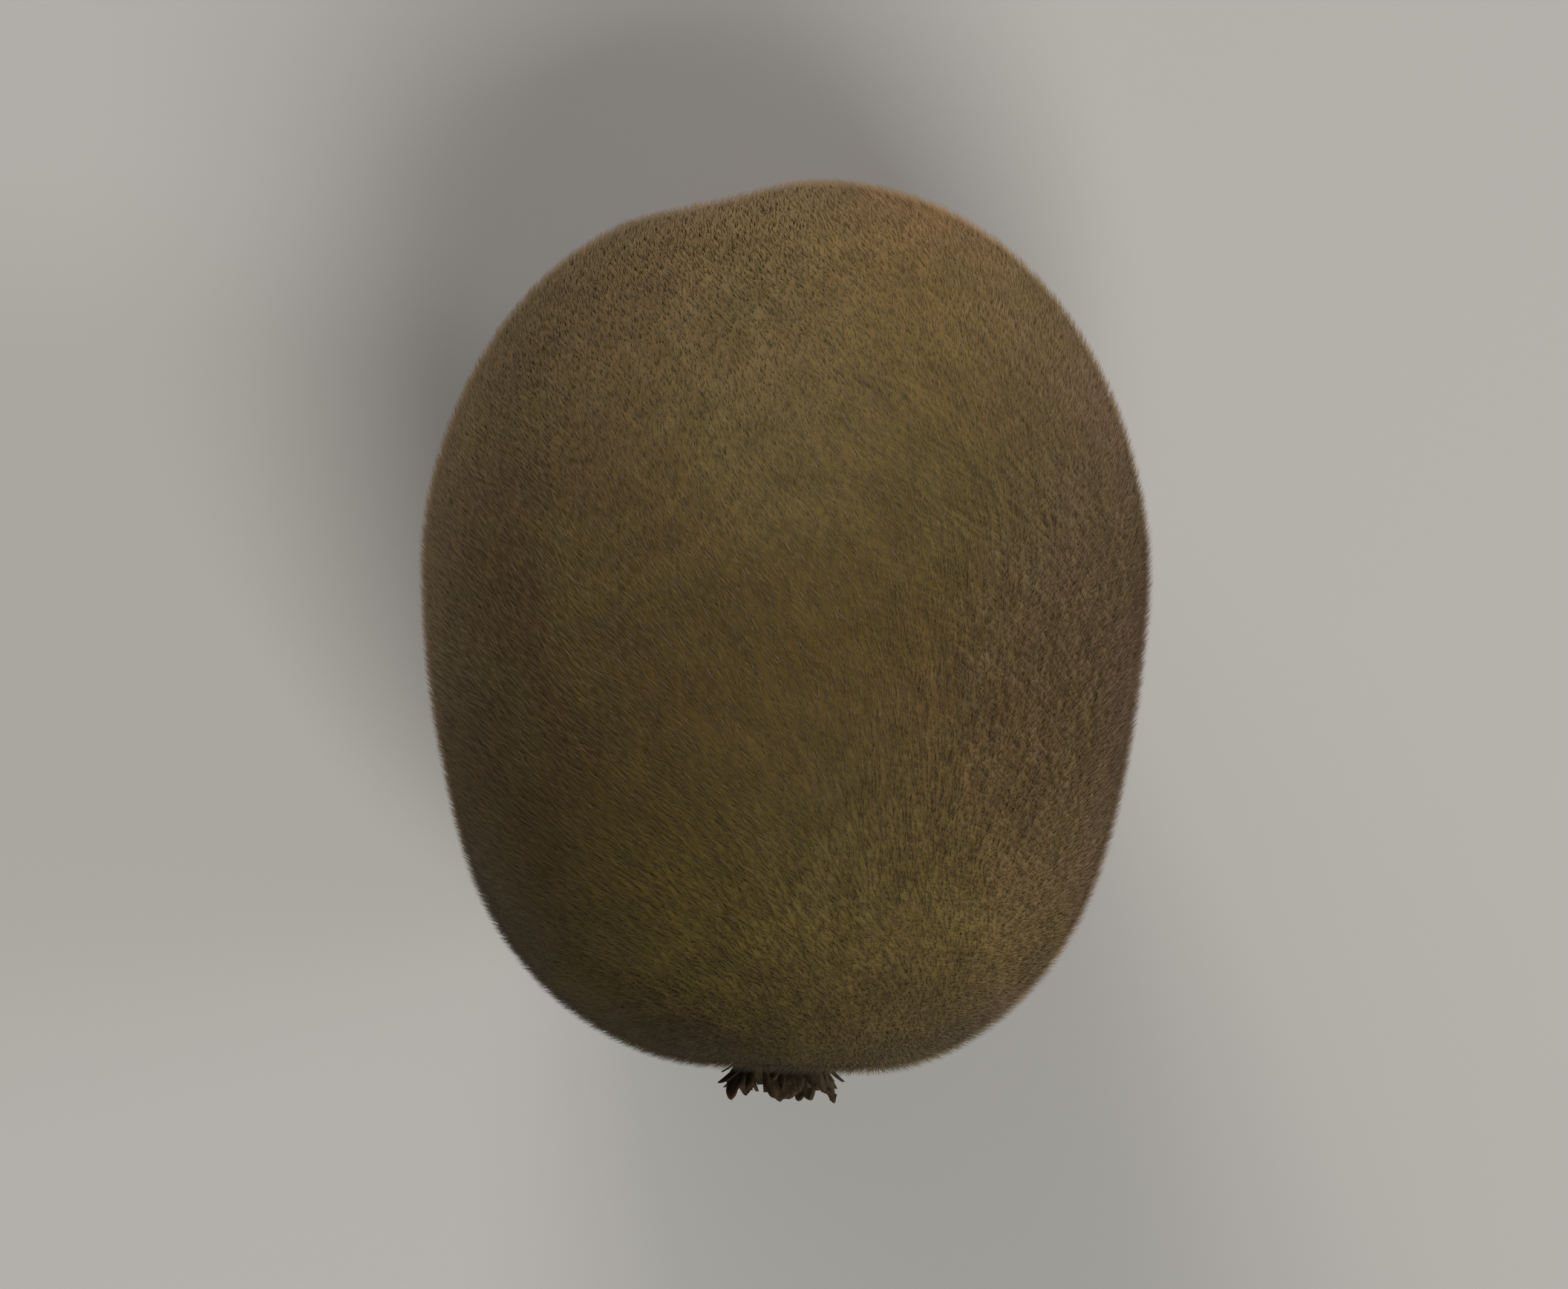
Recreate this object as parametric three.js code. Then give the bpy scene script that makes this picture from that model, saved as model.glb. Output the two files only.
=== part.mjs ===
// A ripe red kiwifruit, lying on its side on the small flat spot it has settled on.
// The fruit's own axis runs along Y: the stem end, with its dried sepals, is at -Y and the sunken
// blossom end, with its dried styles, is at +Y. X runs across the broad side and Z is up.
// Millimetres. The origin is at the bottom centre of the box round the whole fruit.
import * as THREE from "three";

// Driving dimensions.
const fruitLength = 59; // stem end to blossom end
const fruitWidth = 48.5; // across the broad side
const fruitDepth = 47.2; // across the narrow side, before the flat spot
const flatSpotSink = 1.3; // how far the resting side is pressed flat
const pieceGap = 0.1; // between the skin and a piece that grows on it

// How full each end is: 2 is an ellipse, and a larger number is blunter.
const stemFullness = 2.28;
const blossomFullness = 2.17;

// The broad side is a little narrower between its middle and its stem end.
const waist = { depth: 0.05, at: -0.36, spread: 0.34 };

// Each end leans: the far shoulder of the blossom end stands proud, and so does that of the stem end.
const blossomLean = 0.03;
const stemLean = 0.03;

// Hollows in the two ends, as depth and spread of a round dimple centred at (x, z).
const stemHollow = { depth: 1.3, spread: 3.6, x: -0.3, z: 0.2 };
const blossomHollow = { depth: 3.2, spread: 2.8, x: -4.4, z: -1 };
// A furrow runs from the blossom hollow up over the rim.
const furrow = { depth: 0.35, spread: 2.7, start: -2, end: 4 };

// Slow unevenness of the girth: share of the radius, waves round the fruit and where they start.
const lumps = [
  { share: 0.007, waves: 2, start: 0.6, ends: 0.35 },
  { share: 0.006, waves: 3, start: 2.2, ends: -0.5 },
  { share: 0.003, waves: 5, start: 0.9, ends: 0.8 },
];

// The mesh of the body.
const facesAround = 64;
const facesAlong = 48;

// The dried calyx: a scar where the stalk broke off, in a ring of sepals.
const scar = { radius: 2.1, height: 0.9, dish: 0.35 };
const sepalRing = 2.6; // from the scar's middle to where a sepal grows out
const sepalThickness = 0.45;
// Where each sepal stands round the scar, its size, and how it leans out and curls back, in degrees.
const sepals = [
  { turn: 14, length: 2.5, width: 3.0, lean: 20, curl: 14 },
  { turn: 84, length: 2.3, width: 2.8, lean: 16, curl: -18 },
  { turn: 156, length: 2.4, width: 3.0, lean: 22, curl: 10 },
  { turn: 230, length: 2.4, width: 2.9, lean: 24, curl: 16 },
  { turn: 302, length: 2.5, width: 2.8, lean: 18, curl: -14 },
];

// The dried styles: a knob whose rim is drawn out into points.
const styleKnob = { radius: 1.5, height: 1.2, points: 11, pointDepth: 0.3 };

const skin = new THREE.MeshStandardMaterial({ color: 0x5b4a2a, roughness: 0.85, metalness: 0 });
const driedLeaf = new THREE.MeshStandardMaterial({ color: 0x33281c, roughness: 0.9, metalness: 0 });
const cork = new THREE.MeshStandardMaterial({ color: 0x6a5237, roughness: 0.95, metalness: 0 });
const driedStyle = new THREE.MeshStandardMaterial({ color: 0x241a12, roughness: 0.9, metalness: 0 });

const degrees = THREE.MathUtils.degToRad;
const smoothstep = THREE.MathUtils.smoothstep;

function bell(distance, spread) {
  return Math.exp(-(distance ** 2) / (2 * spread ** 2));
}

// How deep a round dimple is at (x, z).
function dimple({ depth, spread, x: centreX, z: centreZ }, x, z) {
  return depth * bell(Math.hypot(x - centreX, z - centreZ), spread);
}

// Presses everything under the resting plane flat, with a soft rim.
function pressedFlat(z) {
  const plane = -fruitDepth / 2 + flatSpotSink;
  const rim = 0.1;
  const above = z - plane;
  if (above <= -rim) return plane;
  return above >= rim ? z : plane + (above + rim) ** 2 / (4 * rim);
}

// The point of the skin in a direction from the fruit's middle. A unit direction of (0, -1, 0) gives
// the stem end, and (0, 1, 0) the blossom end.
function skinPoint(direction) {
  const { x: across, y: along, z: up } = direction;
  const fullness = along < 0 ? stemFullness : blossomFullness;
  const reach = (Math.abs(along) ** fullness + Math.hypot(across, up) ** fullness) ** (-1 / fullness);

  const alongShare = along * reach;
  const angle = Math.atan2(up, across);
  let girth = 1;
  for (const lump of lumps) {
    const fade = (1 - alongShare ** 2) * (1 + lump.ends * alongShare);
    girth += lump.share * fade * Math.cos(lump.waves * angle + lump.start);
  }
  const taper = 1 - waist.depth * bell(alongShare - waist.at, waist.spread);
  const x = (fruitWidth / 2) * across * reach * girth * taper;
  const z = (fruitDepth / 2) * up * reach * girth;

  let y = (fruitLength / 2) * alongShare;
  if (along > 0) {
    y += blossomLean * x * smoothstep(alongShare, 0.1, 1);
    const open = smoothstep(z, furrow.start, furrow.end) * smoothstep(alongShare, 0.3, 0.8);
    const inFurrow = furrow.depth * open * bell(x - blossomHollow.x, furrow.spread);
    y -= dimple(blossomHollow, x, z) + inFurrow;
  } else {
    y -= stemLean * x * smoothstep(-alongShare, 0.1, 1);
    y += dimple(stemHollow, x, z);
  }
  return new THREE.Vector3(x, y, pressedFlat(z));
}

// The place on one end of the fruit, at (x, z), where a piece as wide as the given radius rests on the
// skin without cutting it. The side is -1 for the stem end and 1 for the blossom end.
function seat(x, z, radius, side) {
  const skinAt = (atX, atZ) =>
    skinPoint(new THREE.Vector3(atX / (fruitWidth / 2), side, atZ / (fruitDepth / 2)).normalize());
  const place = skinAt(x, z);
  for (let angle = 0; angle < 2 * Math.PI; angle += Math.PI / 6) {
    const edge = skinAt(x + radius * Math.cos(angle), z + radius * Math.sin(angle));
    place.y = side * Math.max(side * place.y, side * edge.y);
  }
  place.y += side * pieceGap;
  return place;
}

function makeFruit() {
  const geometry = new THREE.SphereGeometry(1, facesAround, facesAlong);
  const position = geometry.getAttribute("position");
  const direction = new THREE.Vector3();
  for (let i = 0; i < position.count; i++) {
    direction.fromBufferAttribute(position, i).normalize();
    position.setXYZ(i, ...skinPoint(direction).toArray());
  }
  const fruit = new THREE.Mesh(geometry, skin);
  fruit.name = "fruit";
  return fruit;
}

// A low corky disc, dished in its middle, facing -Y.
function makeStalkScar() {
  const { radius, height, dish } = scar;
  const profile = [
    [0, 0],
    [radius * 0.9, 0],
    [radius, height * 0.45],
    [radius * 0.88, height],
    [radius * 0.55, height * 0.9],
    [0, height - dish],
  ].map(([x, y]) => new THREE.Vector2(x, y));
  const mesh = new THREE.Mesh(new THREE.LatheGeometry(profile, 20), cork);
  mesh.name = "stalk_scar";
  mesh.rotation.x = Math.PI;
  mesh.position.copy(seat(stemHollow.x, stemHollow.z, radius, -1));
  return mesh;
}

// A papery flap that grows along +Y from its base, narrows to its tip and curls towards +Z.
function sepalGeometry({ length, width, curl }) {
  const geometry = new THREE.BoxGeometry(1, 1, 1, 5, 6, 1);
  const position = geometry.getAttribute("position");
  const bend = degrees(curl) / length;
  for (let i = 0; i < position.count; i++) {
    const alongShare = position.getY(i) + 0.5;
    const outline = 0.8 + 0.45 * alongShare - 1.05 * alongShare ** 2.5;
    const x = position.getX(i) * width * outline;
    const cup = 0.12 * (x ** 2) / width;
    const thin = 1 - 0.5 * alongShare;
    const offset = position.getZ(i) * sepalThickness * thin - cup;
    const angle = bend * length * alongShare;
    const run = length * alongShare;
    const y = bend === 0 ? run : Math.sin(angle) / bend;
    const z = bend === 0 ? 0 : (1 - Math.cos(angle)) / bend;
    position.setXYZ(i, x, y - offset * Math.sin(angle), z + offset * Math.cos(angle));
  }
  return geometry;
}

// A sepal stands on the skin, in a holder that turns it round the scar and leans it outwards.
function makeSepal(sepal, index) {
  const turn = degrees(sepal.turn);
  const x = stemHollow.x + sepalRing * Math.cos(turn);
  const z = stemHollow.z + sepalRing * Math.sin(turn);
  const flap = new THREE.Mesh(sepalGeometry(sepal), driedLeaf);
  flap.name = `sepal_${index + 1}`;

  const outward = new THREE.Vector3(Math.cos(turn), 0, Math.sin(turn));
  const away = new THREE.Vector3(0, -1, 0); // off the end of the fruit
  const lean = degrees(sepal.lean);
  const grows = away.clone().multiplyScalar(Math.cos(lean)).addScaledVector(outward, Math.sin(lean));
  const faces = outward.clone().multiplyScalar(Math.cos(lean)).addScaledVector(away, -Math.sin(lean));
  const sideways = new THREE.Vector3().crossVectors(grows, faces);
  flap.quaternion.setFromRotationMatrix(new THREE.Matrix4().makeBasis(sideways, grows, faces));

  flap.position.copy(seat(x, z, sepal.width / 2, -1));
  return flap;
}

// The knob that the dried styles leave at the bottom of the blossom hollow, facing +Y.
function makeStyleTuft() {
  const { radius, height, points, pointDepth } = styleKnob;
  const profile = [
    [0, 0],
    [radius * 0.5, 0],
    [radius, height * 0.75],
    [radius * 0.92, height],
    [radius * 0.4, height * 0.7],
    [0, height * 0.8],
  ].map(([x, y]) => new THREE.Vector2(x, y));
  const geometry = new THREE.LatheGeometry(profile, points * 2);
  const position = geometry.getAttribute("position");
  for (let i = 0; i < position.count; i++) {
    const x = position.getX(i);
    const z = position.getZ(i);
    const rimShare = Math.hypot(x, z) / radius;
    const dent = 1 - pointDepth * rimShare * (1 - Math.cos(points * Math.atan2(z, x))) / 2;
    position.setXYZ(i, x * dent, position.getY(i), z * dent);
  }
  const mesh = new THREE.Mesh(geometry, driedStyle);
  mesh.name = "style_tuft";
  mesh.position.copy(seat(blossomHollow.x, blossomHollow.z, radius * 0.6, 1));
  return mesh;
}

const kiwi = new THREE.Group();
kiwi.add(makeFruit(), makeStalkScar(), ...sepals.map(makeSepal), makeStyleTuft());

// Sets the origin at the bottom centre of the box round everything.
const box = new THREE.Box3().setFromObject(kiwi, true);
const centre = box.getCenter(new THREE.Vector3());
kiwi.position.set(-centre.x, -centre.y, -box.min.z);

export default kiwi;
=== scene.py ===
import math
import random

import bmesh
import bpy
from mathutils import Matrix, Vector, noise
from mathutils.bvhtree import BVHTree


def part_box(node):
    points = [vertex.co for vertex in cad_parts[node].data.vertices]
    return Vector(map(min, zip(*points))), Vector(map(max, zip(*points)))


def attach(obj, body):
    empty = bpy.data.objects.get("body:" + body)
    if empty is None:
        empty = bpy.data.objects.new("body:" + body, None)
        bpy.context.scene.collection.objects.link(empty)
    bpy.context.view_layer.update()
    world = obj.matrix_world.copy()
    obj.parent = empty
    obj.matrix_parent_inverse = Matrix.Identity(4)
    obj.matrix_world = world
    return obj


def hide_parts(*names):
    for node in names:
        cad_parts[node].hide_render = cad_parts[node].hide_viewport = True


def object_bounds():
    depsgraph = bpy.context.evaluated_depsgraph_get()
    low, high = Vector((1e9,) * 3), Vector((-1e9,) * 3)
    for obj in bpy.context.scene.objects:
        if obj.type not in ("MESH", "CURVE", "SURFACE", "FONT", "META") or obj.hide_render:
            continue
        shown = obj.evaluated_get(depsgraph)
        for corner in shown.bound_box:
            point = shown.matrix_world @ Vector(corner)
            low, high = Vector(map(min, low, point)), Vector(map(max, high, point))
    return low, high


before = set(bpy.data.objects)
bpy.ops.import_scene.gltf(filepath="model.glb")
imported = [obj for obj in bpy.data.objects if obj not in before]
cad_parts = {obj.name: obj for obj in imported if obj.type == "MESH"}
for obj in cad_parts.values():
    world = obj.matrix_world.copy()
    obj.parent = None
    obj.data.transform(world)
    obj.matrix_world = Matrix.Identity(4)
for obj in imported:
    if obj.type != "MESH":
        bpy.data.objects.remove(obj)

# A red kiwifruit lying on its side: velvety skin under short fuzz, a ragged dried calyx round the
# stalk scar at -Y and dried styles in the sunken blossom end at +Y. All sizes are in metres.

cadLow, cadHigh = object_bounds()
fruitLow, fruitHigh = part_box("fruit")
fruitMiddle = (fruitLow + fruitHigh) / 2
fruitHalf = (fruitHigh - fruitLow) / 2
scarLow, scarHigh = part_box("stalk_scar")
scarMiddle = (scarLow + scarHigh) / 2
tuftLow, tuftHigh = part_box("style_tuft")
tuftMiddle = (tuftLow + tuftHigh) / 2
print("frame loaded, fruit", [round(2000 * side, 1) for side in fruitHalf], "mm")


def finishMesh(bm, name, materials, smooth=False):
    mesh = bpy.data.meshes.new(name)
    bm.to_mesh(mesh)
    bm.free()
    for material in materials:
        mesh.materials.append(material)
    if smooth:
        mesh.shade_smooth()
    piece = bpy.data.objects.new(name, mesh)
    bpy.context.scene.collection.objects.link(piece)
    return piece


def ownPiece(piece, slot, *nodes):
    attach(piece, "root")
    if nodes:
        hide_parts(*nodes)


def joinInto(bm, part):
    mesh = bpy.data.meshes.new("part")
    part.to_mesh(mesh)
    part.free()
    bm.from_mesh(mesh)
    bpy.data.meshes.remove(mesh)


def mergedCopy(node):
    bm = bmesh.new()
    bm.from_mesh(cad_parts[node].data)
    bmesh.ops.remove_doubles(bm, verts=bm.verts[:], dist=1e-6)
    bmesh.ops.join_triangles(bm, faces=bm.faces[:], angle_face_threshold=math.pi,
                             angle_shape_threshold=math.pi)
    return bm


# camera, light and floor

studio = {
    "cameraHeight": 0.43,        # looking straight down
    "lens": 142,
    "floorSize": 10,
    "floorColor": (0.50, 0.49, 0.47, 1),
    "skyColor": (1.0, 0.97, 0.92, 1),
    "skyStrength": 0.10,
    # name: place, size, watts, color
    "lights": {
        "rimLight": ((-0.50, 2.48, 0.61), 0.85, 62.0, (1.0, 0.95, 0.90)),
        "keyLight": ((0.34, -0.78, 1.06), 0.72, 12.0, (1.0, 0.99, 0.95)),
        "sideLight": ((2.48, 0.0, 0.36), 0.64, 43.0, (0.92, 0.93, 1.0)),
        "fillLight": ((-1.38, 2.12, 0.75), 1.10, 11.0, (0.96, 0.98, 1.0)),
    },
}


def buildStudio():
    scene = bpy.context.scene
    scene.view_settings.view_transform = "Standard"

    lens = bpy.data.cameras.new("camera")
    lens.lens = studio["lens"]
    lens.clip_start = 0.01
    camera = bpy.data.objects.new("camera", lens)
    camera.location = (fruitMiddle.x, (cadLow.y + cadHigh.y) / 2, studio["cameraHeight"])
    scene.collection.objects.link(camera)
    scene.camera = camera

    for name, (place, size, watts, color) in studio["lights"].items():
        lamp = bpy.data.lights.new(name, "AREA")
        lamp.size = size
        lamp.energy = watts
        lamp.color = color
        light = bpy.data.objects.new(name, lamp)
        light.location = place
        light.visible_camera = False
        light.rotation_euler = (fruitMiddle - Vector(place)).to_track_quat("-Z", "Y").to_euler()
        scene.collection.objects.link(light)

    sky = bpy.data.worlds.new("sky")
    sky.use_nodes = True
    background = sky.node_tree.nodes["Background"]
    background.inputs["Color"].default_value = studio["skyColor"]
    background.inputs["Strength"].default_value = studio["skyStrength"]
    scene.world = sky

    paint = bpy.data.materials.new("floorPaint")
    paint.use_nodes = True
    shader = paint.node_tree.nodes["Principled BSDF"]
    shader.inputs["Base Color"].default_value = studio["floorColor"]
    shader.inputs["Roughness"].default_value = 0.9
    shader.inputs["Specular IOR Level"].default_value = 0.05
    bm = bmesh.new()
    bmesh.ops.create_grid(bm, x_segments=1, y_segments=1, size=studio["floorSize"] / 2)
    finishMesh(bm, "floor", [paint])
    print("studio:", len(studio["lights"]), "lights")


def addNode(tree, kind, inputs=None, **settings):
    node = tree.nodes.new(kind)
    for name, value in settings.items():
        setattr(node, name, value)
    for name, value in (inputs or {}).items():
        if isinstance(value, bpy.types.NodeSocket):
            tree.links.new(value, node.inputs[name])
        else:
            node.inputs[name].default_value = value
    return node


def addMath(tree, operation, first, second, third=0.0):
    node = addNode(tree, "ShaderNodeMath", {0: first, 1: second, 2: third}, operation=operation)
    return node.outputs[0]


def addMix(tree, share, first, second, blend="MIX"):
    node = addNode(tree, "ShaderNodeMix", data_type="RGBA", blend_type=blend)
    for socket, value in ((node.inputs[0], share), (node.inputs[6], first), (node.inputs[7], second)):
        if isinstance(value, bpy.types.NodeSocket):
            tree.links.new(value, socket)
        else:
            socket.default_value = value
    return node.outputs[2]


def addRamp(tree, value, *stops):
    node = addNode(tree, "ShaderNodeValToRGB", {"Fac": value})
    ramp = node.color_ramp
    while len(ramp.elements) < len(stops):
        ramp.elements.new(1.0)
    for element, (position, color) in zip(ramp.elements, stops):
        element.position = position
        element.color = color if isinstance(color, tuple) else (color, color, color, 1)
    return node.outputs["Color"]


def addNoise(tree, place, scale, detail=2.0, roughness=0.5, stretch=None):
    if stretch:
        place = addNode(tree, "ShaderNodeMapping", {"Vector": place, "Scale": stretch}).outputs[0]
    node = addNode(tree, "ShaderNodeTexNoise",
                   {"Vector": place, "Scale": scale, "Detail": detail, "Roughness": roughness})
    return node.outputs["Fac"]


def newMaterial(name, **constants):
    material = bpy.data.materials.new(name)
    material.use_nodes = True
    shader = material.node_tree.nodes["Principled BSDF"]
    for socket, value in constants.items():
        shader.inputs[socket.replace("_", " ")].default_value = value
    place = addNode(material.node_tree, "ShaderNodeTexCoord").outputs["Object"]
    return material, material.node_tree, shader, place


# the fruit's color, shared by its skin and its fuzz

tone = {
    # along the fruit, from its stem end to its blossom end: its own change in color, darker at the stem
    # end partly as painted shade, lighter and warmer at the blossom end partly as painted light
    "along": (
        (0.00, (0.040, 0.026, 0.011, 1)),
        (0.06, (0.064, 0.041, 0.014, 1)),
        (0.14, (0.128, 0.085, 0.021, 1)),
        (0.24, (0.118, 0.078, 0.017, 1)),
        (0.48, (0.108, 0.067, 0.012, 1)),
        (0.72, (0.117, 0.075, 0.016, 1)),
        (0.90, (0.148, 0.092, 0.023, 1)),
        (1.00, (0.205, 0.118, 0.042, 1)),
    ),
    # lighter than the fruit's middle: the flank's plum-brown color together with painted light on that
    # flank
    "plumBrown": (0.138, 0.080, 0.040, 1),
    "olive": (0.096, 0.071, 0.013, 1),
    # painted shade on the other flank
    "umber": (0.050, 0.026, 0.004, 1),
    # soft patches on its back: middle, reach, color, share; the first is a painted highlight on top, the
    # last painted shade beside the stem end
    "patches": (
        # painted highlight: a pale khaki sheen on top of the fruit
        ((0.001, 0.012, 0.043), 0.013, (0.142, 0.107, 0.032, 1), 0.40),
        ((-0.004, -0.016, 0.040), 0.014, (0.132, 0.095, 0.016, 1), 0.50),
        ((0.014, -0.006, 0.040), 0.014, (0.108, 0.058, 0.014, 1), 0.60),
        ((0.006, -0.024, 0.034), 0.009, (0.120, 0.081, 0.022, 1), 0.55),
        # painted shade beside the stem end
        ((-0.007, -0.027, 0.031), 0.008, (0.052, 0.034, 0.013, 1), 0.50),
    ),
    # share across the fruit where each starts and where it is full, and its strength there
    # the flush is partly painted light, the shade is painted shade
    "flushAndLight": (0.45, 1.0, 0.85),
    "shade": (-0.02, -0.70, 0.78),
    "wander": 0.17,              # how far the colors run into each other
    "patchScale": 95,
    "oliveScale": 160,
    "mottleScale": 420,
    "streakScale": 1500, "streakStretch": 10, "streakTurn": 32,
}


def buildToneGroup():
    group = bpy.data.node_groups.new("kiwiTone", "ShaderNodeTree")
    group.interface.new_socket("Place", in_out="INPUT", socket_type="NodeSocketVector")
    group.interface.new_socket("Color", in_out="OUTPUT", socket_type="NodeSocketColor")
    group.interface.new_socket("Mottle", in_out="OUTPUT", socket_type="NodeSocketFloat")
    place = addNode(group, "NodeGroupInput").outputs["Place"]
    result = addNode(group, "NodeGroupOutput")

    share = addNode(group, "ShaderNodeVectorMath", {0: place, 1: fruitMiddle}, operation="SUBTRACT")
    share = addNode(group, "ShaderNodeVectorMath", {0: share.outputs[0], 1: fruitHalf},
                    operation="DIVIDE")
    across, along, up = addNode(group, "ShaderNodeSeparateXYZ", {0: share.outputs[0]}).outputs

    # the ends' colors run into each other unevenly
    patches = addNoise(group, place, tone["patchScale"], 3.0, 0.55)
    wander = addMath(group, "MULTIPLY", addMath(group, "SUBTRACT", patches, 0.5),
                     tone["wander"])
    run = addMath(group, "MULTIPLY_ADD", along, 0.5, 0.5)
    # the ramp's dark stem end is partly painted shade, its light blossom end partly painted light
    color = addRamp(group, addMath(group, "ADD", run, wander), *tone["along"])

    # a plum-brown flush on one flank, lighter there as painted light, olive along the back, and painted
    # shade in umber on the other flank
    for side, sideColor in (("flushAndLight", "plumBrown"), ("shade", "umber")):
        start, full, strength = tone[side]
        share = addNode(group, "ShaderNodeMapRange", {0: addMath(group, "ADD", across, wander),
                                                      1: start, 2: full, 3: 0.0, 4: strength})
        color = addMix(group, share.outputs[0], color, tone[sideColor])
    back = addRamp(group, addNoise(group, place, tone["oliveScale"], 2.0, 0.5), (0.42, 0.0), (0.66, 0.42))
    color = addMix(group, back, color, tone["olive"])

    # the patches include a painted highlight on top and painted shade beside the stem end
    for middle, reach, patchColor, strength in tone["patches"]:
        gap = addNode(group, "ShaderNodeVectorMath", {0: place, 1: middle}, operation="DISTANCE")
        gap = addMath(group, "ADD", gap.outputs["Value"], addMath(group, "MULTIPLY", wander, 0.02))
        near = addNode(group, "ShaderNodeMapRange", {0: gap, 1: reach, 2: 0.0, 3: 0.0, 4: strength},
                       interpolation_type="SMOOTHSTEP")
        color = addMix(group, near.outputs[0], color, patchColor)

    # fine mottling
    mottle = addNoise(group, place, tone["mottleScale"], 4.0, 0.6)
    color = addMix(group, 1.0, color, addRamp(group, mottle, (0.32, 0.87), (0.68, 1.13)), "MULTIPLY")
    # fine streaks run the way the fuzz is combed
    combed = addNode(group, "ShaderNodeMapping",
                     {"Vector": place, "Rotation": (0, 0, math.radians(tone["streakTurn"])),
                      "Scale": (1, tone["streakStretch"], 1)}, vector_type="TEXTURE").outputs[0]
    streaks = addNoise(group, combed, tone["streakScale"], 3.0, 0.6)
    color = addMix(group, 1.0, color, addRamp(group, streaks, (0.34, 0.88), (0.66, 1.13)), "MULTIPLY")
    group.links.new(color, result.inputs["Color"])
    group.links.new(mottle, result.inputs["Mottle"])
    return group


def addTone(tree, group, place):
    node = addNode(tree, "ShaderNodeGroup", node_tree=group)
    tree.links.new(place, node.inputs["Place"])
    return node.outputs["Color"], node.outputs["Mottle"]


# skin

skin = {
    "levels": 2,
    "under": 0.00025,            # leaves the fuzz room inside the CAD box
    "dentSize": 0.012, "dentDepth": 0.00022,
    "bumpSize": 0.0032, "bumpDepth": 0.00005,
    "ribs": 5, "ribDepth": 0.00012,
    "ribSlant": 40,              # radians a metre
    "speckScale": 900, "speckShare": 0.07, "speckColor": (0.24, 0.165, 0.07, 1),
    "grimeScale": 1500,
    "pitScale": 2600, "pitDepth": 0.00012,
}


def skinMaterial(group):
    material, tree, shader, place = newMaterial("kiwiSkin", Sheen_Weight=0.08, Sheen_Roughness=0.45,
                                                Sheen_Tint=(0.80, 0.66, 0.42, 1),
                                                Specular_IOR_Level=0.25)
    color, mottle = addTone(tree, group, place)
    cells = addNode(tree, "ShaderNodeTexVoronoi", {"Vector": place, "Scale": skin["speckScale"]})
    specks = addRamp(tree, cells.outputs["Distance"], (0.10, 1.0), (0.26, 0.0))
    color = addMix(tree, addMath(tree, "MULTIPLY", specks, skin["speckShare"]), color,
                   skin["speckColor"])
    dark = addRamp(tree, addNoise(tree, place, skin["grimeScale"], 2.0, 0.6), (0.30, 0.84), (0.52, 1.0))
    color = addMix(tree, 1.0, color, dark, "MULTIPLY")
    tree.links.new(color, shader.inputs["Base Color"])
    tree.links.new(addRamp(tree, mottle, (0.30, 0.82), (0.70, 0.62)), shader.inputs["Roughness"])
    pits = addNoise(tree, place, skin["pitScale"], 3.0, 0.65)
    bump = addNode(tree, "ShaderNodeBump",
                   {"Height": pits, "Strength": 0.5, "Distance": skin["pitDepth"]})
    tree.links.new(bump.outputs[0], shader.inputs["Normal"])
    return material


def makeSkin(material):
    rough = finishMesh(mergedCopy("fruit"), "roughSkin", [])
    rounding = rough.modifiers.new("rounding", "SUBSURF")
    rounding.levels = rounding.render_levels = skin["levels"]
    shaped = rough.evaluated_get(bpy.context.evaluated_depsgraph_get())
    bm = bmesh.new()
    bm.from_mesh(shaped.to_mesh())
    bpy.data.objects.remove(rough)

    bm.normal_update()
    for vert in bm.verts:
        away = vert.co - fruitMiddle
        angle = math.atan2(away.z, away.x)
        middle = max(0.0, 1 - (away.y / fruitHalf.y) ** 2)
        swell = -skin["under"] + skin["dentDepth"] * noise.noise(vert.co / skin["dentSize"])
        swell += skin["bumpDepth"] * noise.noise(vert.co / skin["bumpSize"])
        swell += skin["ribDepth"] * middle * math.cos(skin["ribs"] * angle + skin["ribSlant"] * away.y)
        vert.co += vert.normal * swell
        vert.co.z = max(vert.co.z, 0)
    bmesh.ops.recalc_face_normals(bm, faces=bm.faces[:])
    tree = BVHTree.FromBMesh(bm)
    piece = finishMesh(bm, "skin", [material], smooth=True)
    ownPiece(piece, "skin", "fruit")
    print("skin:", len(piece.data.polygons), "faces")
    return tree


# fuzz

fuzz = {
    "coats": 4,
    "rows": 152,                 # a hair grows in each half of a rows x rows grid's cells
    "length": 0.00112, "lengthSpread": 0.26,
    "thickness": 0.000036,
    "lean": 62, "leanSpread": 9, "flattest": 82,
    "comb": Vector((-0.53, 0.85, 0.0)), "stray": 0.22,
    "swirl": 13, "swirlSize": 0.012,
    "tallest": 0.00068,
    "sunk": 0.00012,
    "floorGap": 0.00005,
    "shortFrom": 0.0018, "shortOver": 0.003,     # from the scar's middle
    "rootCell": 0.004,           # share of its cell of the map
    # the tips' paler, bluer tone is partly paler hair and partly painted sheen
    "rootTone": (0.90, 0.89, 0.86, 1), "tipToneAndSheen": (1.28, 1.33, 1.75, 1),
}


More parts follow.
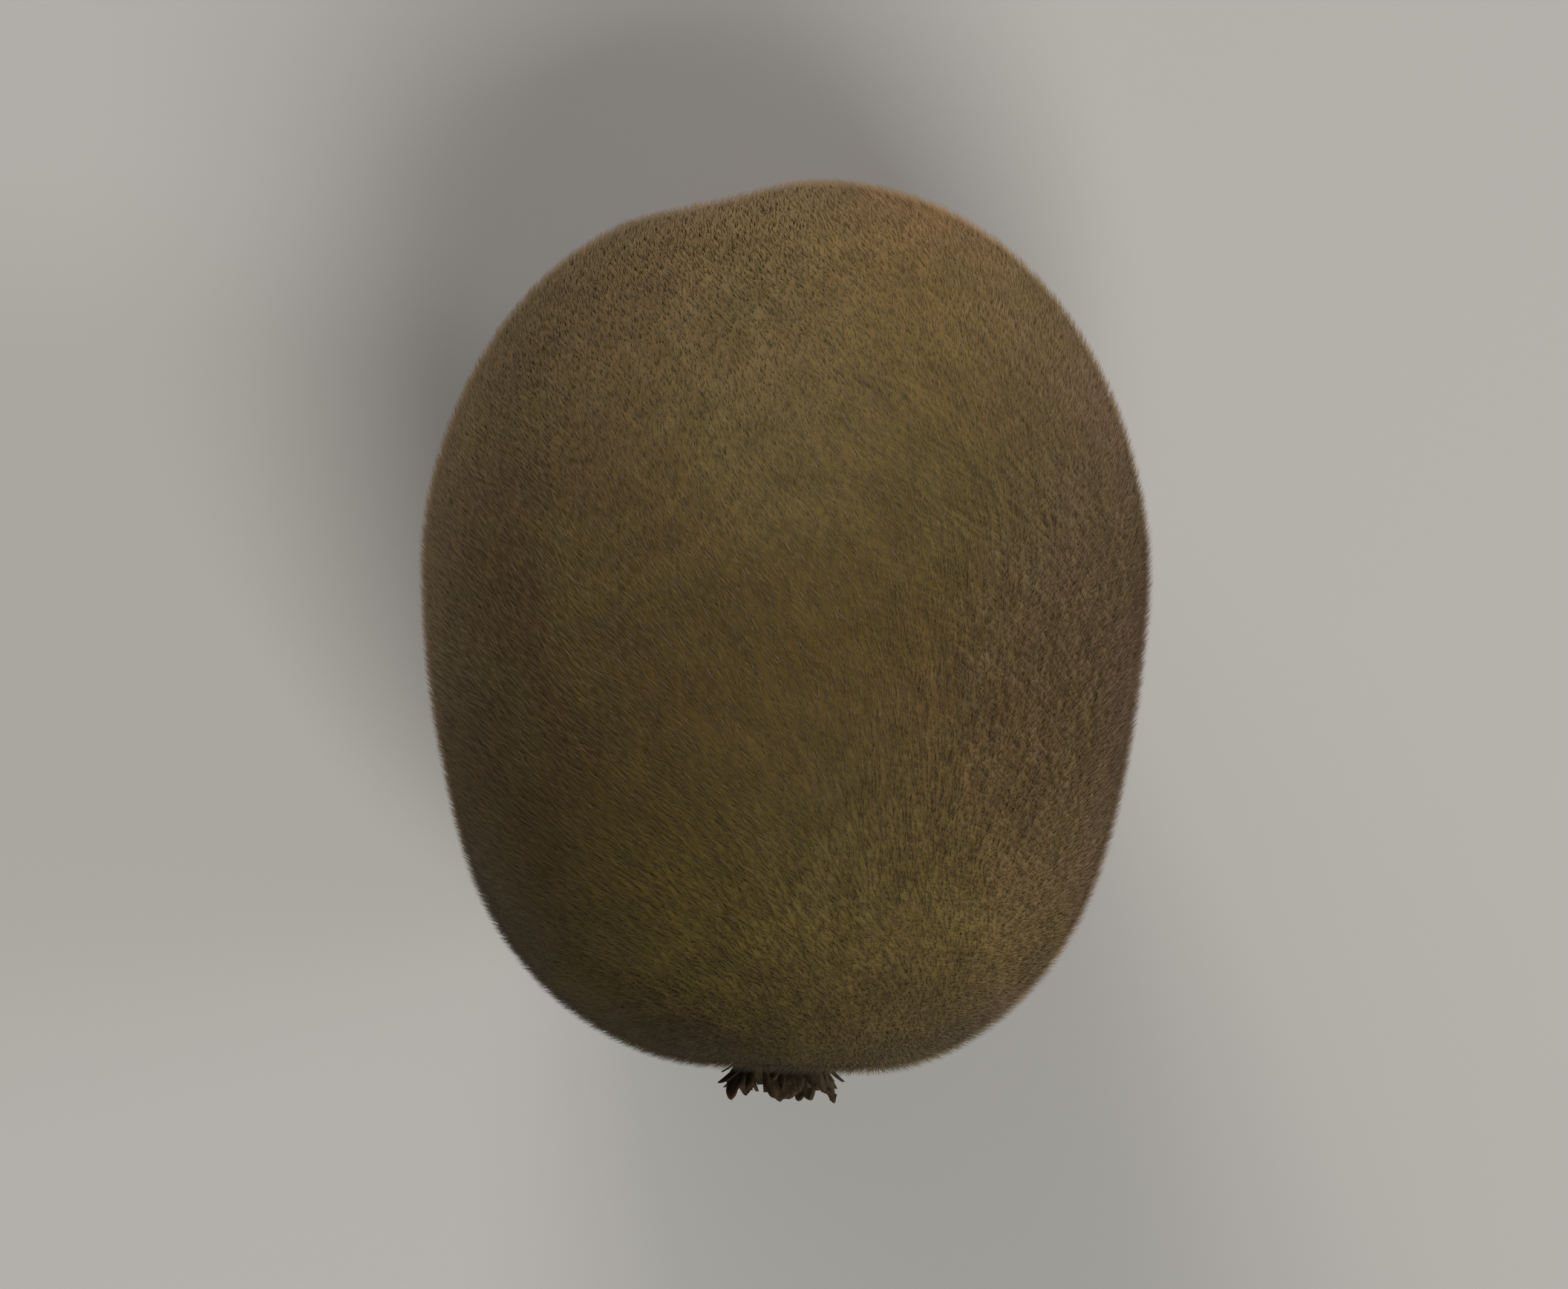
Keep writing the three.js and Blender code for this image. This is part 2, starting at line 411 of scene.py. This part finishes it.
def fuzzMaterial(group):
    material, tree, shader, place = newMaterial("kiwiFuzz", Roughness=0.6, Specular_IOR_Level=0.25,
                                                Sheen_Weight=0.12, Sheen_Roughness=0.6,
                                                Sheen_Tint=(0.95, 0.85, 0.70, 1))
    color, mottle = addTone(tree, group, place)
    tint = addNode(tree, "ShaderNodeAttribute", attribute_name="hairTint").outputs["Fac"]
    rise = addNode(tree, "ShaderNodeAttribute", attribute_name="hairRise").outputs["Fac"]
    # paler towards the tips, partly as painted sheen
    paling = addRamp(tree, rise, (0.0, fuzz["rootTone"]), (1.0, fuzz["tipToneAndSheen"]))
    color = addMix(tree, 1.0, color, paling, "MULTIPLY")
    variety = addRamp(tree, tint, (0.0, (0.80, 0.78, 0.75, 1)), (0.5, (1.0, 1.0, 0.97, 1)),
                      (0.88, (1.12, 1.09, 1.0, 1)), (1.0, (1.45, 1.38, 1.2, 1)))
    color = addMix(tree, 1.0, color, variety, "MULTIPLY")
    tree.links.new(color, shader.inputs["Base Color"])
    return material


def hairRoots(number, count, rng, skinTree):
    # places spread evenly over the skin, each with the way the skin faces there
    turn = math.pi * (3 - math.sqrt(5))
    for index in range(count):
        step = (index * fuzz["coats"] + number + rng.random()) / (count * fuzz["coats"])
        height = 1 - 2 * step
        ring = math.sqrt(max(0.0, 1 - height * height))
        angle = turn * (index * fuzz["coats"] + number) + rng.uniform(-0.02, 0.02)
        way = Vector((ring * math.cos(angle) * fruitHalf.x, height * fruitHalf.y,
                      ring * math.sin(angle) * fruitHalf.z))
        place, normal, face, distance = skinTree.ray_cast(fruitMiddle, way.normalized())
        yield place, normal


def growCoat(number, skinTree, material):
    rng = random.Random(100 + number)
    bm = bmesh.new()
    mapLayer = bm.loops.layers.uv.new("OFBake")
    tintLayer = bm.verts.layers.float.new("hairTint")
    riseLayer = bm.verts.layers.float.new("hairRise")
    bmesh.ops.create_grid(bm, x_segments=fuzz["rows"], y_segments=fuzz["rows"], size=0.5,
                          calc_uvs=True)
    bmesh.ops.triangulate(bm, faces=bm.faces[:])
    bmesh.ops.split_edges(bm, edges=bm.edges[:])
    roots = bm.faces[:]
    tips = []
    for root, (place, normal) in zip(roots, hairRoots(number, len(roots), rng, skinTree)):
        swirl = noise.noise(place / fuzz["swirlSize"]) * math.radians(2 * fuzz["swirl"])
        endShare = min(1, abs(place.y - fruitMiddle.y) / fruitHalf.y)
        # combed straight at the ends
        comb = Vector((fuzz["comb"].x * (1 - endShare ** 4), fuzz["comb"].y, 0))
        comb -= normal * comb.dot(normal)
        comb.rotate(Matrix.Rotation(swirl + rng.gauss(0, fuzz["stray"]), 3, normal))
        lean = math.radians(min(fuzz["flattest"], rng.gauss(fuzz["lean"], fuzz["leanSpread"])))
        grows = (normal * math.cos(lean) + comb.normalized() * math.sin(lean)).normalized()
        length = fuzz["length"] * max(0.3, rng.gauss(1, fuzz["lengthSpread"]))
        nearScar = (place - scarMiddle).length
        length *= min(1, max(0.15, (nearScar - fuzz["shortFrom"]) / fuzz["shortOver"]))
        length = min(length, fuzz["tallest"] / max(0.1, grows.dot(normal)))
        side = normal.orthogonal().normalized()
        other = normal.cross(side)
        tint = rng.random()
        base = place - normal * fuzz["sunk"]
        tip = place + grows * length
        if tip.z < fuzz["floorGap"]:      # bent by the floor
            tip.z = fuzz["floorGap"]
            base.z = max(base.z, tip.z + fuzz["sunk"])
        tips.append(tip)
        for corner, vert in enumerate(root.verts):
            angle = corner * 2 * math.pi / 3
            vert.co = base + fuzz["thickness"] * (side * math.cos(angle) + other * math.sin(angle))
            vert[tintLayer] = tint
    grown = bmesh.ops.extrude_face_region(bm, geom=bm.verts[:] + bm.edges[:] + roots,
                                          use_keep_orig=True)["geom"]
    ends = [item for item in grown if isinstance(item, bmesh.types.BMFace)]
    for end, tip in zip(ends, tips):
        for vert in end.verts:
            vert.co = tip
            vert[riseLayer] = 1
    bmesh.ops.collapse(bm, edges=[item for item in grown if isinstance(item, bmesh.types.BMEdge)],
                       uvs=False)

    # each hair keeps its own cell of the map, with its tip in the cell's middle
    for root in roots:
        cell = [corner[mapLayer].uv.copy() for corner in root.loops]
        middle = (cell[0] + cell[1] + cell[2]) / 3
        tip = next(corner.link_loop_radial_next.link_loop_next.link_loop_next
                   for corner in root.loops)
        for corner in tip.vert.link_loops:
            corner[mapLayer].uv = middle
        for corner, place in zip(root.loops, cell):
            corner[mapLayer].uv = place * fuzz["rootCell"]
    piece = finishMesh(bm, f"fuzz{number + 1}", [material], smooth=True)
    ownPiece(piece, "skin")
    print(piece.name + ":", len(roots), "hairs")


# dried calyx round the stalk scar

calyx = {
    "sepals": 5,
    "ragged": 0.00045, "raggedSize": 0.0006,
    "crumple": 0.00022, "crumpleSize": 0.0011,
    "shreds": 46,
    "shredLength": (0.0012, 0.0027), "shredWidth": (0.0008, 0.0018),
    "shredRing": (0.0020, 0.0034),
    "shredLean": (5, 42), "shredBend": (-0.5, 0.7), "shredTaper": 0.75,
    "shredDepth": 0.0012,        # scales the strip's thickness of 0.12
    "sunk": 0.0002,
}


def buildFibreGroup():
    group = bpy.data.node_groups.new("driedFibre", "ShaderNodeTree")
    for name, kind in (("Place", "Vector"), ("Scale", "Float"), ("Dark", "Color"), ("Light", "Color")):
        group.interface.new_socket(name, in_out="INPUT", socket_type="NodeSocket" + kind)
    group.interface.new_socket("Color", in_out="OUTPUT", socket_type="NodeSocketColor")
    group.interface.new_socket("Height", in_out="OUTPUT", socket_type="NodeSocketFloat")
    given = addNode(group, "NodeGroupInput").outputs
    result = addNode(group, "NodeGroupOutput")
    fibres = addNoise(group, given["Place"], given["Scale"], 4.0, 0.65, stretch=(1, 0.25, 1))
    blots = addNoise(group, given["Place"], addMath(group, "DIVIDE", given["Scale"], 5.0), 2.0, 0.5)
    color = addMix(group, addRamp(group, fibres, (0.34, 0.0), (0.68, 1.0)), given["Dark"], given["Light"])
    color = addMix(group, 1.0, color, addRamp(group, blots, (0.3, 0.6), (0.7, 1.25)), "MULTIPLY")
    group.links.new(color, result.inputs["Color"])
    group.links.new(fibres, result.inputs["Height"])
    return group


def driedMaterial(name, group, dark, light, scale):
    material, tree, shader, place = newMaterial(name, Roughness=0.92, Specular_IOR_Level=0.15)
    fibre = addNode(tree, "ShaderNodeGroup", node_tree=group)
    fibre.inputs["Scale"].default_value = scale
    fibre.inputs["Dark"].default_value = dark
    fibre.inputs["Light"].default_value = light
    tree.links.new(place, fibre.inputs["Place"])
    tree.links.new(fibre.outputs["Color"], shader.inputs["Base Color"])
    bump = addNode(tree, "ShaderNodeBump",
                   {"Height": fibre.outputs["Height"], "Strength": 0.8, "Distance": 0.00025})
    tree.links.new(bump.outputs[0], shader.inputs["Normal"])
    return material


def makeSepal(index, material):
    node = f"sepal_{index + 1}"
    bm = mergedCopy(node)
    bmesh.ops.recalc_face_normals(bm, faces=bm.faces[:])
    bmesh.ops.subdivide_edges(bm, edges=bm.edges[:], cuts=3, use_grid_fill=True, smooth=0.6)
    low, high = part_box(node)
    bm.normal_update()
    for vert in bm.verts:
        rise = (high.y - vert.co.y) / (high.y - low.y)
        rip = noise.noise(vert.co / calyx["raggedSize"] + Vector((index, 0, 0)))
        vert.co.y += calyx["ragged"] * rip * rise ** 2 + calyx["sunk"]
        vert.co += vert.normal * calyx["crumple"] * noise.noise(vert.co / calyx["crumpleSize"])
    piece = finishMesh(bm, f"sepal{index + 1}", [material], smooth=True)
    ownPiece(piece, "dried_leaf", node)


def makeShreds(skinTree, material):
    # torn strips of the calyx between the sepals
    rng = random.Random(7)
    bm = bmesh.new()
    for index in range(calyx["shreds"]):
        turn = 2 * math.pi * (index + rng.uniform(-0.4, 0.4)) / calyx["shreds"]
        ring = rng.uniform(*calyx["shredRing"])
        outward = Vector((math.cos(turn), 0, math.sin(turn)))
        start = Vector((scarMiddle.x, fruitLow.y - 0.01, scarMiddle.z)) + outward * ring
        foot = skinTree.ray_cast(start, Vector((0, 1, 0)))[0] + Vector((0, calyx["sunk"], 0))
        lean = math.radians(rng.uniform(*calyx["shredLean"]))
        grows = Vector((0, -math.cos(lean), 0)) + outward * math.sin(lean)
        sideways = outward.cross(Vector((0, 1, 0))).normalized()
        length, width = rng.uniform(*calyx["shredLength"]), rng.uniform(*calyx["shredWidth"])
        bend = rng.uniform(*calyx["shredBend"])
        strip = bmesh.ops.create_grid(bm, x_segments=2, y_segments=5, size=0.5)["verts"]
        faces = list({face for vert in strip for face in vert.link_faces})
        walls = bmesh.ops.solidify(bm, geom=faces, thickness=0.12)["geom"]
        strip = {vert for face in faces for vert in face.verts}
        strip |= {vert for item in walls if isinstance(item, bmesh.types.BMFace) for vert in item.verts}
        for vert in strip:
            across, along, thick = vert.co.x, vert.co.y + 0.5, vert.co.z
            taper = 1 - calyx["shredTaper"] * along ** 1.5
            curl = outward * (bend * length * along ** 2)
            vert.co = (foot + grows * (length * along) + curl + sideways * (across * width * taper)
                       + outward * (thick * calyx["shredDepth"]))
    bmesh.ops.recalc_face_normals(bm, faces=bm.faces[:])
    piece = finishMesh(bm, "calyxShreds", [material], smooth=True)
    ownPiece(piece, "dried_leaf")
    print("calyx:", calyx["sepals"], "sepals and", calyx["shreds"], "shreds")


# stalk scar

scar = {
    "steps": 60,
    "profile": ((0.0, 0.10), (0.22, 0.02), (0.45, 0.26), (0.70, 0.42), (0.88, 0.30), (1.0, -0.05),
                (1.04, -0.60)),   # share of the radius, share of the height above the skin
    "crack": 0.00016, "crackSize": 0.0006, "crackBelow": 0.0002,
}


def makeScar(material):
    radius = (scarHigh.x - scarLow.x) / 2
    height = scarHigh.y - scarLow.y
    bm = bmesh.new()
    verts = [bm.verts.new((scarMiddle.x + across * radius, scarHigh.y - up * height, scarMiddle.z))
             for across, up in scar["profile"]]
    edges = [bm.edges.new(pair) for pair in zip(verts, verts[1:])]
    bmesh.ops.spin(bm, geom=verts + edges, cent=scarMiddle, axis=(0, 1, 0), angle=2 * math.pi,
                   steps=scar["steps"], use_merge=True, use_duplicate=False)
    bmesh.ops.remove_doubles(bm, verts=bm.verts[:], dist=1e-6)
    bmesh.ops.holes_fill(bm, edges=[edge for edge in bm.edges if edge.is_boundary], sides=0)
    bmesh.ops.recalc_face_normals(bm, faces=bm.faces[:])
    bmesh.ops.subdivide_edges(bm, edges=bm.edges[:], cuts=1, use_grid_fill=True, smooth=0.5)
    for vert in bm.verts:
        if vert.co.y < scarHigh.y + scar["crackBelow"]:
            vert.co.y += scar["crack"] * noise.noise(vert.co / scar["crackSize"])
    piece = finishMesh(bm, "stalkScar", [material], smooth=True)
    ownPiece(piece, "cork", "stalk_scar")
    print("stalk scar done")


# dried styles

styles = {
    "bristles": 46,
    "length": (0.0013, 0.0022),
    "thickness": 0.00011,
    "spread": (18, 62),
    "bend": (-0.2, 0.6), "taper": 0.35,
    "footRing": 0.0005, "sunk": 0.0003,
    "knob": 0.0007, "knobFlat": 0.6, "knobLump": 0.25, "knobLumpSize": 0.0004,
}


def makeStyles(material):
    rng = random.Random(11)
    bm = bmesh.new()
    foot = Vector((tuftMiddle.x, tuftLow.y - styles["sunk"], tuftMiddle.z))
    for index in range(styles["bristles"]):
        turn = index * math.pi * (3 - math.sqrt(5))
        spread = math.radians(rng.uniform(*styles["spread"]))
        length = rng.uniform(*styles["length"])
        outward = Vector((math.cos(turn), 0, math.sin(turn)))
        grows = Vector((0, math.cos(spread), 0)) + outward * math.sin(spread)
        base = foot + outward * rng.uniform(0, styles["footRing"])
        bristle = bmesh.new()
        bmesh.ops.create_cone(bristle, segments=5, radius1=styles["thickness"],
                              radius2=styles["thickness"] * styles["taper"], depth=length, cap_ends=True)
        sides = [edge for edge in bristle.edges
                 if abs(edge.verts[0].co.z - edge.verts[1].co.z) > length / 2]
        bmesh.ops.subdivide_edges(bristle, edges=sides, cuts=3)
        bend = rng.uniform(*styles["bend"])
        turned = grows.to_track_quat("Z", "Y")
        for vert in bristle.verts:
            along = vert.co.z / length + 0.5
            vert.co.z += length / 2
            vert.co = base + turned @ vert.co + outward * (bend * length * along ** 2)
        joinInto(bm, bristle)
    knob = bmesh.ops.create_icosphere(bm, subdivisions=3, radius=styles["knob"])["verts"]
    for vert in knob:
        vert.co.y *= styles["knobFlat"]
        vert.co *= 1 + styles["knobLump"] * noise.noise(vert.co / styles["knobLumpSize"])
        vert.co += foot
    bmesh.ops.recalc_face_normals(bm, faces=bm.faces[:])
    piece = finishMesh(bm, "driedStyles", [material], smooth=True)
    ownPiece(piece, "dried_style", "style_tuft")
    print("dried styles:", styles["bristles"], "bristles")


# putting it together

buildStudio()
toneGroup = buildToneGroup()
skinTree = makeSkin(skinMaterial(toneGroup))
hairMaterial = fuzzMaterial(toneGroup)
for number in range(fuzz["coats"]):
    growCoat(number, skinTree, hairMaterial)

fibreGroup = buildFibreGroup()
leafMaterial = driedMaterial("driedLeaf", fibreGroup, (0.016, 0.010, 0.005, 1), (0.066, 0.043, 0.020, 1),
                             1800)
for index in range(calyx["sepals"]):
    makeSepal(index, leafMaterial)
makeShreds(skinTree, leafMaterial)
makeScar(driedMaterial("corkScar", fibreGroup, (0.060, 0.034, 0.017, 1), (0.20, 0.125, 0.065, 1), 1400))
makeStyles(driedMaterial("driedStyle", fibreGroup, (0.012, 0.008, 0.005, 1), (0.060, 0.038, 0.020, 1),
                         2600))
